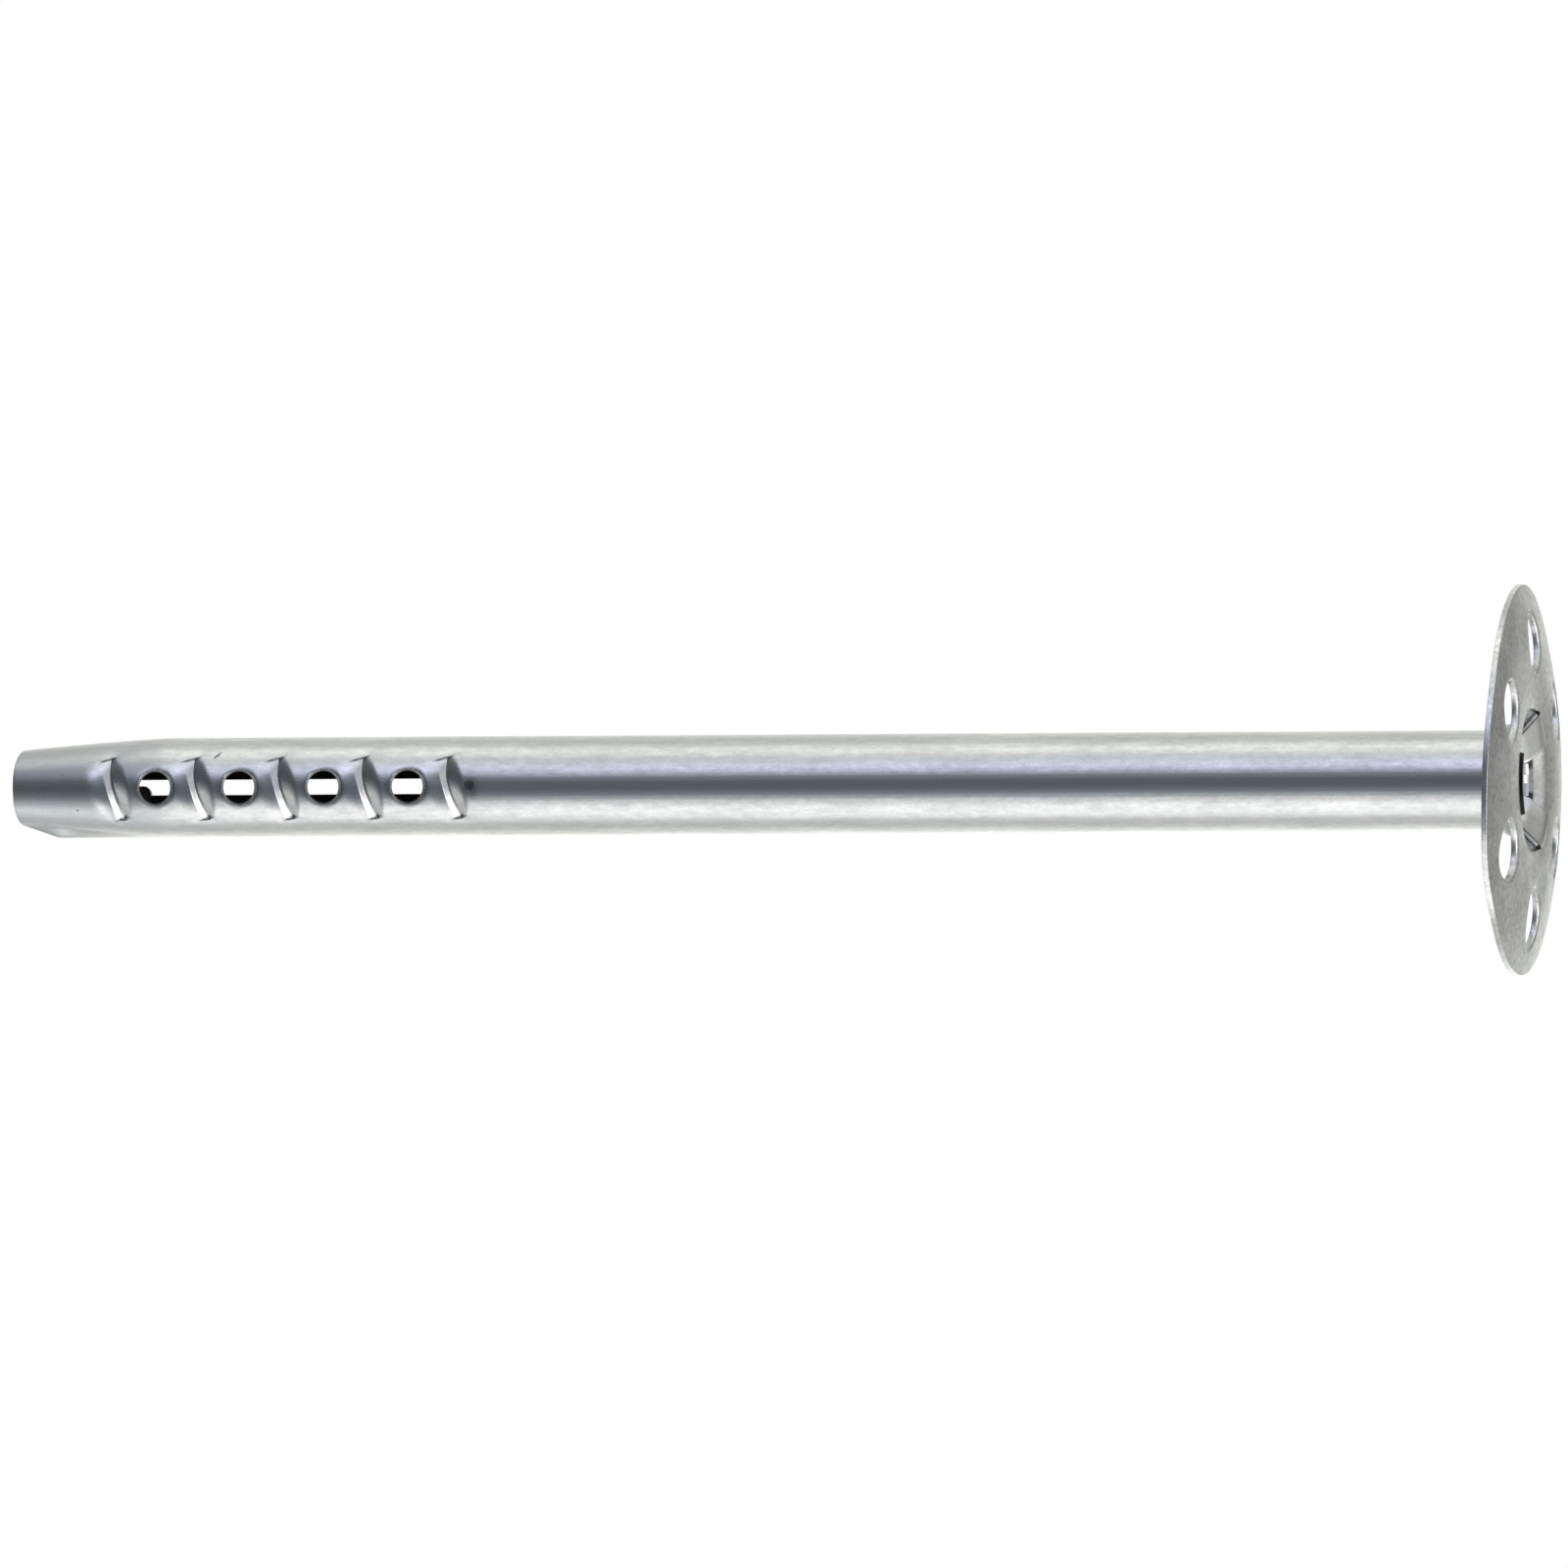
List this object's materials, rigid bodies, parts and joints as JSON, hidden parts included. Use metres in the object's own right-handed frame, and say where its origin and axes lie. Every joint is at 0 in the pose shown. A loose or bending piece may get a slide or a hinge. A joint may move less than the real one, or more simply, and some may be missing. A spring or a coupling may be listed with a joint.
{
  "type": "metal insulation anchor",
  "caption": "Slotted rolled-steel sleeve with a row of holes and pressed notches at its drawn-in tip, clinched by flared ears into a perforated domed head disc.",
  "frame": {"origin": "on the sleeve's axis, in the plane of the head's crown, which the anchor stands on", "axes": "+Z along the sleeve from the head to the tip; -Y towards the row of round holes; +Y towards the long slot"},
  "size_m": [0.035, 0.035, 0.139],
  "materials": {
    "sleeve_zinc": "galvanised sheet, faint drawing lines along the sleeve",
    "disc_zinc": "galvanised sheet, fine dull mottle"
  },
  "bodies": {
    "root": {"sleeve": "sleeve_zinc", "head_disc": "disc_zinc"}
  },
  "joints": []
}
